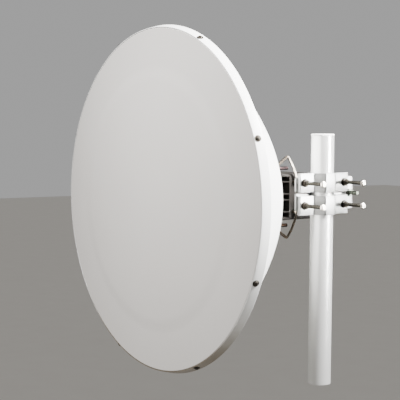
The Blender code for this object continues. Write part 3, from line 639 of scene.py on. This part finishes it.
def satin_galvanised(name, light, shade, rough, lengthwise, metal, painted_shadow_line=None):
    """Smooth galvanised steel under clear lacquer: 40 mm clouds, 2 mm streaks drawn out lengthwise
    along Z. painted_shadow_line (hex, height, reach, most) paints a thin dark line of shadow across it at a
    height in Z."""
    finish, tree, shader, place = start_finish(name, Metallic=metal, Coat_Weight=0.2, Coat_Roughness=0.25)
    stretch = add_node(tree, "ShaderNodeMapping", {"Vector": place, "Scale": (1.0, 1.0, 1.0 / lengthwise)})
    drawn = stretch.outputs["Vector"]
    cloud = add_node(tree, "ShaderNodeTexNoise", {"Vector": drawn, "Scale": 28.0, "Detail": 5.0})
    tone = add_node(tree, "ShaderNodeMix", {"Factor": cloud.outputs["Fac"], "A": hex_to_linear(shade),
                                            "B": hex_to_linear(light)}, data_type='RGBA')
    colour = tone.outputs["Result"]
    if painted_shadow_line:
        dark_tone, height, reach, most = painted_shadow_line
        level = add_node(tree, "ShaderNodeSeparateXYZ", {"Vector": place}).outputs["Z"]
        away = add_node(tree, "ShaderNodeMath", {0: level, 1: height}, operation='SUBTRACT')
        gap = add_node(tree, "ShaderNodeMath", {0: away.outputs["Value"]}, operation='ABSOLUTE')
        cover = add_node(tree, "ShaderNodeMapRange", {"Value": gap.outputs["Value"], "From Min": reach,
                                                      "From Max": 0.5 * reach, "To Max": most})
        darker = add_node(tree, "ShaderNodeMix", {"Factor": cover.outputs["Result"], "A": colour,
                                                   "B": hex_to_linear(dark_tone)}, data_type='RGBA')
        colour = darker.outputs["Result"]
    tree.links.new(colour, shader.inputs["Base Color"])
    streak = add_node(tree, "ShaderNodeTexNoise", {"Vector": drawn, "Scale": 420.0, "Detail": 3.0})
    rub = add_node(tree, "ShaderNodeMapRange", {"Value": streak.outputs["Fac"], "To Min": rough - 0.05,
                                                "To Max": rough + 0.07})
    tree.links.new(rub.outputs["Result"], shader.inputs["Roughness"])
    bump = add_node(tree, "ShaderNodeBump", {"Height": streak.outputs["Fac"], "Strength": 0.08,
                                             "Distance": 0.0002})
    tree.links.new(bump.outputs["Normal"], shader.inputs["Normal"])
    return finish


pipe_bore = PIPE_R - PIPE_WALL
pipe = [(0.0, PIPE_WALL), (pipe_bore, PIPE_WALL), (pipe_bore, PIPE_TOP - 0.0004),
        (pipe_bore + 0.0004, PIPE_TOP), (PIPE_R - PIPE_EDGE, PIPE_TOP), (PIPE_R, PIPE_TOP - PIPE_EDGE),
        (PIPE_R, PIPE_EDGE), (PIPE_R - PIPE_EDGE, 0.0), (0.0, 0.0)]
add_piece("mast_pipe", turned(pipe, PIPE_SEGMENTS, (0.0, 0.0, 0.0), "z"),
          skin_faces(len(pipe), PIPE_SEGMENTS, False, True),
          satin_galvanised("satin_galvanised_mast", "E0E0DE", "D4D4D1", rough=0.34, lengthwise=12.0,
                           metal=0.60), "mast", "mast_paint", ["mast_pole"], 30.0)
cap = round_corners(CAP_SECTION, CAP_BENDS, 5, False)
add_piece("mast_end_cap", turned(cap, CAP_SEGMENTS, (0.0, 0.0, CAP_BASE), "z"),
          skin_faces(len(cap), CAP_SEGMENTS, False, True),
          powder_coat("moulded_white_cap", "F3F3F0", "E9E8E4", gloss=0.42, peel=0.2), "mast", "cap_paint",
          ["mast_cap"])


# Pole clamps. Two omega straps pressed from 4 mm steel sheet grip the mast from the front, and one
# larger pressed plate holds it from behind. Satin galvanised, with rounded sheared edges, so that the
# faces turned to the light shine white and the sloping sides stay grey.
SHEET = 0.004
SHEARED_EDGE = 0.0009
END_PINCH = 0.7
CLAMP_MIDDLE = {"upper": 0.5345, "lower": 0.4755}
CLAMP_HALF_H = 0.025
OMEGA = [(-0.0020, -0.084), (0.010, -0.084), (0.010, -0.036), (0.0345, -0.017), (0.0345, 0.017),
         (0.010, 0.036), (0.010, 0.084), (-0.0020, 0.084)]
OMEGA_BENDS = [0.0] + [0.003] * 6 + [0.0]
PLATE_Z = (0.4615, 0.5485)
PLATE_CORNER = 0.007
PLATE = [(-0.0023, -0.0885), (-0.0023, -0.043), (-0.0305, -0.015), (-0.0305, 0.015), (-0.0023, 0.043),
         (-0.0023, 0.112)]
PLATE_BENDS = [0.0] + [0.006] * 4 + [0.0]
# Painted shadow: a dark band on the plate just under the upper strap's lower edge.
GAP_PAINTED_SHADOW = ("2B2723", 0.5088, 0.0050, 0.98)


def folded_strip(path, low, high, sheet, inward, end_round=0.0):
    """Sheet on edge: the section is a rounded rectangle `sheet` thick between z = low and high, carried
    along the outer face's path (x, y); near each end its height follows a circle of radius end_round."""
    path = np.asarray(path, float)
    step = np.concatenate([[0.0], np.cumsum(np.linalg.norm(np.diff(path, axis=0), axis=1))])
    total = step[-1]
    near = np.array([0.0, SHEARED_EDGE])
    if end_round:
        near = end_round * (1 - np.cos(np.linspace(0, 0.5 * math.pi, 9)))
    stops = np.unique(np.round(np.concatenate([step, near, total - near]), 7))
    path = np.stack([np.interp(stops, step, path[:, k]) for k in (0, 1)], -1)
    tangent = np.gradient(path, axis=0)
    tangent /= np.linalg.norm(tangent, axis=1, keepdims=True)
    normal = np.stack([-tangent[:, 1], tangent[:, 0]], -1) * inward
    from_end = np.minimum(stops, total - stops)
    shrink = np.zeros(len(stops))
    if end_round:
        t = np.clip(1 - from_end / end_round, 0, 1)
        shrink = end_round * (1 - np.sqrt(np.clip(1 - t * t, 0, 1)))
    thin = np.where(from_end < SHEARED_EDGE, (SHEARED_EDGE - from_end) * END_PINCH, 0.0)
    rings = []
    for spot, way, drop, pinch in zip(path, normal, shrink, thin):
        z0 = low + drop + pinch
        z1 = high - drop - pinch
        corners = [(pinch, z0), (sheet - pinch, z0), (sheet - pinch, z1), (pinch, z1)]
        section = round_corners(corners, SHEARED_EDGE, 4, True)
        rings.append(np.column_stack([spot + section[:, :1] * way, section[:, 1]]))
    rings = np.stack(rings)
    count = rings.shape[1]
    last = (len(rings) - 1) * count
    caps = (list(range(count)), list(range(last, last + count)))
    return rings, skin_faces(len(rings), count, False, True), caps


omega = round_corners(OMEGA, OMEGA_BENDS, 7, False)
clamp_coat = satin_galvanised("satin_galvanised_clamp", "949492", "868684", rough=0.36, lengthwise=1.0,
                              metal=1.0)
for row, middle in CLAMP_MIDDLE.items():
    points, faces, caps = folded_strip(omega, middle - CLAMP_HALF_H, middle + CLAMP_HALF_H, SHEET, 1)
    add_piece(row + "_omega_clamp", points, faces, clamp_coat, "pole_mount", "clamp_paint",
              [row + "_front_clamp"], caps=caps)
plate = round_corners(PLATE, PLATE_BENDS, 7, False)
points, faces, caps = folded_strip(plate, *PLATE_Z, SHEET, 1, PLATE_CORNER)
add_piece("rear_saddle_plate", points, faces,
          satin_galvanised("satin_galvanised_plate", "A6A6A4", "969694", rough=0.38, lengthwise=1.0,
                           metal=0.9, painted_shadow_line=GAP_PAINTED_SHADOW),
          "pole_mount", "plate_paint", ["rear_clamp_plate"], caps=caps)


# Clamp and pivot fasteners. Four long M10 bolts run through both clamps with their heads in front,
# each with a lock nut and washer on the strap and a nut behind. Zinc plated and dulled by weather.
BOLT_Y = {"near": -0.069, "far": 0.069}
BOLT_END_X = 0.0808
BOLT_TAIL = 0.012
REAR_X = -0.0066
BOLT_HEAD_X = (0.0805, 0.0870)
BOLT_HEAD_HALF = 0.0075
BOLT_HEAD_TRIM = 0.80
WASHER_X = 0.0103
WASHER_SIDES = 40
HEX_HALF = 0.008
HEX_TRIM = 0.97
HEX_SEGMENTS = 72
CONE_RISE = 1.73
HEX_STOPS = (0.0, 0.04, 0.09, 0.16, 0.84, 0.91, 0.96, 1.0)
NUT_X = (0.0119, 0.0199)
NUT_H = 0.008
NUT_BORE = 0.0051
ROD_R = 0.0045
THREAD_RISE = 0.00045
THREAD_PITCH = 0.0015
ROD_SEGMENTS = 24
RINGS_PER_TURN = 6


def hex_section(angle, half):
    """Distance to the side of a hexagon of half width `half` across flats, at an angle from a flat."""
    return half / np.cos((angle + math.pi / 6) % (math.pi / 3) - math.pi / 6)


def place_along_x(r, angle, x, spot):
    """Points at radius r and angle about an axis along X through the spot (y, z)."""
    return np.stack([x + 0 * angle, spot[0] + r * np.cos(angle), spot[1] + r * np.sin(angle)], -1)


def hex_block(low, high, bore, spot, chamfer_low, chamfer_high, half=HEX_HALF, trim=HEX_TRIM):
    """Hexagon between two heights, its corners cut by 30 degree cones, with a bore or closed ends."""
    angle = np.linspace(0, 2 * math.pi, HEX_SEGMENTS, endpoint=False)[None, :]
    out = hex_section(angle, half)
    span = high - low
    rows = [(0 * out + bore, low)]
    for t in HEX_STOPS:
        cut_low = half * trim + t * span * CONE_RISE if chamfer_low else 1.0
        cut_high = half * trim + (1 - t) * span * CONE_RISE if chamfer_high else 1.0
        rows.append((np.minimum(out, np.minimum(cut_low, cut_high)), low + t * span))
    rows.append((0 * out + bore, high))
    points = np.stack([place_along_x(r, angle, x, spot)[0] for r, x in rows])
    return points, skin_faces(len(rows), HEX_SEGMENTS, bore > 0, True)


def threaded_rod(start, end, spot):
    """Thread: r = 4.5 mm + 0.45 mm tri(x / pitch - a / 2 pi), fading out over the last two turns."""
    x = np.arange(start, end, THREAD_PITCH / RINGS_PER_TURN)[:, None]
    angle = np.linspace(0, 2 * math.pi, ROD_SEGMENTS, endpoint=False)[None, :]
    phase = (x / THREAD_PITCH - angle / (2 * math.pi)) % 1.0
    wave = 1 - np.abs(2 * phase - 1)
    fade = np.clip(np.minimum(x - start, end - x) / (2 * THREAD_PITCH), 0, 1)
    points = place_along_x(ROD_R + THREAD_RISE * wave * fade, angle, x, spot)
    last = (len(points) - 1) * ROD_SEGMENTS
    caps = (list(range(ROD_SEGMENTS)), list(range(last, last + ROD_SEGMENTS)))
    return points, skin_faces(len(points), ROD_SEGMENTS, False, True), caps


def washer_ring(seat, y, z):
    """Flat washer 1.6 mm thick with 0.3 mm bevels, turned about X from its seat."""
    section = [(0.0053, 0.0), (0.0102, 0.0), (0.0105, 0.0003), (0.0105, 0.0013), (0.0102, 0.0016),
               (0.0053, 0.0016)]
    faces = skin_faces(len(section), WASHER_SIDES, True, True)
    return turned(section, WASHER_SIDES, (seat, y, z), "x"), faces


def add_fastener(name, made, finish, slot, stands_for=()):
    """Part of the clamp's or the pivot's fasteners, out of the points, faces and caps made for it."""
    points, faces, *caps = made
    add_piece(name, points, faces, finish, "pole_mount", slot, stands_for, 25.0, *caps)


bolt_metal = plated_steel("weathered_zinc_bolt", "3D3B35", "24221E", 0.42)
pivot_metal = plated_steel("passivated_zinc_pivot", "666B60", "373A33", 0.32)
head_metal = plated_steel("bright_zinc_head", "D8D2C8", "AAA398", 0.30)
nut_metal = plated_steel("dark_zinc_nut", "37322B", "1D1A17", 0.40)
for row, z in CLAMP_MIDDLE.items():
    for end, y in BOLT_Y.items():
        label = row + "_" + end
        rod = threaded_rod(REAR_X - BOLT_TAIL, BOLT_END_X, (y, z))
        head = hex_block(*BOLT_HEAD_X, 0.0, (y, z), False, True, BOLT_HEAD_HALF, BOLT_HEAD_TRIM)
        add_fastener("threaded_bolt_" + label, rod, bolt_metal, "bolt_zinc", ["clamp_bolt_" + label])
        add_fastener("bolt_head_" + label, head, head_metal, "bolt_zinc")
        add_fastener("lock_nut_" + label, hex_block(*NUT_X, NUT_BORE, (y, z), True, True), nut_metal,
                     "nut_zinc", ["front_nut_" + label])
        add_fastener("washer_" + label, washer_ring(WASHER_X, y, z), nut_metal, "nut_zinc")
        add_fastener("back_nut_" + label, hex_block(REAR_X - NUT_H, REAR_X, NUT_BORE, (y, z), True, True),
                     nut_metal, "nut_zinc", ["rear_nut_" + label])

PIVOT = (0.098, 0.505)
PIVOT_ROD_X = (-0.0520, 0.0310)
PIVOT_HEAD_X = (-0.0555, -0.0490)
PIVOT_NUT_X = (-0.0004, 0.0076)
PIVOT_WASHER_X = -0.0020
add_fastener("pivot_screw", threaded_rod(*PIVOT_ROD_X, PIVOT), pivot_metal, "pivot_zinc", ["pivot_bolt"])
add_fastener("pivot_screw_head", hex_block(*PIVOT_HEAD_X, 0.0, PIVOT, True, False), pivot_metal,
             "pivot_zinc")
add_fastener("pivot_lock_nut", hex_block(*PIVOT_NUT_X, NUT_BORE, PIVOT, True, True), pivot_metal,
             "pivot_zinc", ["pivot_nut"])
add_fastener("pivot_washer", washer_ring(PIVOT_WASHER_X, *PIVOT), nut_metal, "pivot_zinc")


# Antenna arm. A folded channel runs from a foot plate on the radio's side to the tilt plate, with a
# round spacer against the rear plate. Folded and welded steel, white powder coat.
ARM_SHEET = 0.005
ARM_X = (-0.1688, -0.0490)
ARM_SECTION = [(0.126, 0.461), (0.078, 0.461), (0.078, 0.535), (0.126, 0.535)]
ARM_BENDS = [0.0, 0.006, 0.006, 0.0]
ARM_PLATES = (("arm_foot", (-0.1747, 0.077, 0.449), (-0.1691, 0.127, 0.537), "arm_paint", "arm_foot_plate"),
              ("tilt_cheek", (-0.0487, 0.076, 0.459), (-0.0407, 0.128, 0.541), "tilt_paint", "tilt_plate"))
ARM_PLATE_EDGE = 0.0012
SPACER_SIDES = 64
SPACER = [(0.0056, -0.0404), (0.0172, -0.0404), (0.0180, -0.0396), (0.0180, -0.0074), (0.0172, -0.0066),
          (0.0056, -0.0066)]
arm_coat = powder_coat("powder_coat_white_arm", "F2F2EE", "E6E5E0", gloss=0.36)
channel = round_corners(ARM_SECTION, ARM_BENDS, 8, False)
rings, faces, caps = folded_strip(channel, *ARM_X, ARM_SHEET, -1)
add_piece("folded_arm", rings[..., [2, 0, 1]], faces, arm_coat, "antenna", "arm_paint", ["side_arm"],
          caps=caps)
for name, low, high, slot, node in ARM_PLATES:
    points, faces, caps = rounded_box(low, high, ARM_PLATE_EDGE)
    add_piece(name, points, faces, arm_coat, "antenna", slot, [node], caps=caps)
add_piece("pivot_spacer", turned(SPACER, SPACER_SIDES, (0.0, *PIVOT), "x"),
          skin_faces(len(SPACER), SPACER_SIDES, True, True), arm_coat, "antenna", "tilt_paint",
          ["pivot_boss"], 30.0)


# Studio. A pale floor, a large soft key light from the right and above, a narrow one level with the
# clamps, a soft fill over the front, and a camera at the photograph's angle, found from the rim, the
# mast and the clamps.
FLOOR_HALF = 40.0
FLOOR_Z = -2.4
SKY_STRENGTH = 0.40
CAMERA_SPOT = (2.2333, -1.9893, 0.6850)
CAMERA_RIGHT = np.array([0.5808, 0.8140, 0.0073])
CAMERA_BACK = np.array([0.8117, -0.5798, 0.0700])
floor = bpy.data.objects.new("studio_floor", bpy.data.meshes.new("studio_floor"))
floor_corners = [(x * FLOOR_HALF, y * FLOOR_HALF, FLOOR_Z) for x, y in ((-1, -1), (1, -1), (1, 1), (-1, 1))]
floor.data.from_pydata(floor_corners, [], [(0, 1, 2, 3)])
bpy.context.scene.collection.objects.link(floor)
pale, tree, shader, place = start_finish("pale_floor", Roughness=0.85)
speck = add_node(tree, "ShaderNodeTexNoise", {"Vector": place, "Scale": 3.0})
tone = add_node(tree, "ShaderNodeMix", {"Factor": speck.outputs["Fac"], "A": hex_to_linear("DCD7CF"),
                                        "B": hex_to_linear("E1DDD5")}, data_type='RGBA')
tree.links.new(tone.outputs["Result"], shader.inputs["Base Color"])
floor.data.materials.append(pale)

sky = bpy.data.worlds.new("studio_sky")
sky.use_nodes = True
sky.node_tree.nodes["Background"].inputs["Color"].default_value = (1.0, 1.0, 1.0, 1.0)
sky.node_tree.nodes["Background"].inputs["Strength"].default_value = SKY_STRENGTH
bpy.context.scene.world = sky


def soft_light(name, target, heading, height, distance, size, power, spread):
    """Square area light that looks at target from a heading and height in degrees: spot = target +
    distance (cos h cos e, sin h cos e, sin e)."""
    h, e = math.radians(heading), math.radians(height)
    back = np.array([math.cos(h) * math.cos(e), math.sin(h) * math.cos(e), math.sin(e)])
    lamp = bpy.data.lights.new(name, 'AREA')
    lamp.shape = 'SQUARE'
    lamp.size = size
    lamp.energy = power
    lamp.spread = math.radians(spread)
    item = bpy.data.objects.new(name, lamp)
    bpy.context.scene.collection.objects.link(item)
    item.visible_camera = False
    side = np.cross([0.0, 0.0, 1.0], back)
    side /= np.linalg.norm(side)
    turn = np.eye(4)
    turn[:3, 0] = side
    turn[:3, 1] = np.cross(back, side)
    turn[:3, 2] = back
    turn[:3, 3] = np.array(target) + back * distance
    item.matrix_world = Matrix(turn.tolist())


soft_light("key_softbox", (-0.05, -0.15, 0.60), heading=34.0, height=42.0, distance=2.4, size=0.7,
           power=84.0, spread=60.0)
soft_light("side_softbox", (0.03, 0.06, 0.54), heading=34.0, height=2.0, distance=2.4, size=0.6,
           power=3.2, spread=14.0)
soft_light("fill_softbox", (-0.20, -0.38, 0.64), heading=-86.0, height=52.0, distance=1.6, size=0.9,
           power=11.5, spread=60.0)

lens = bpy.data.cameras.new("camera")
lens.sensor_width = 36.0
lens.lens = 101.87
lens.shift_y = 0.00875
eye = bpy.data.objects.new("camera", lens)
bpy.context.scene.collection.objects.link(eye)
back = CAMERA_BACK / np.linalg.norm(CAMERA_BACK)
up = np.cross(back, CAMERA_RIGHT)
up /= np.linalg.norm(up)
aim = np.eye(4)
aim[:3, 0] = np.cross(up, back)
aim[:3, 1] = up
aim[:3, 2] = back
aim[:3, 3] = CAMERA_SPOT
eye.matrix_world = Matrix(aim.tolist())
bpy.context.scene.camera = eye
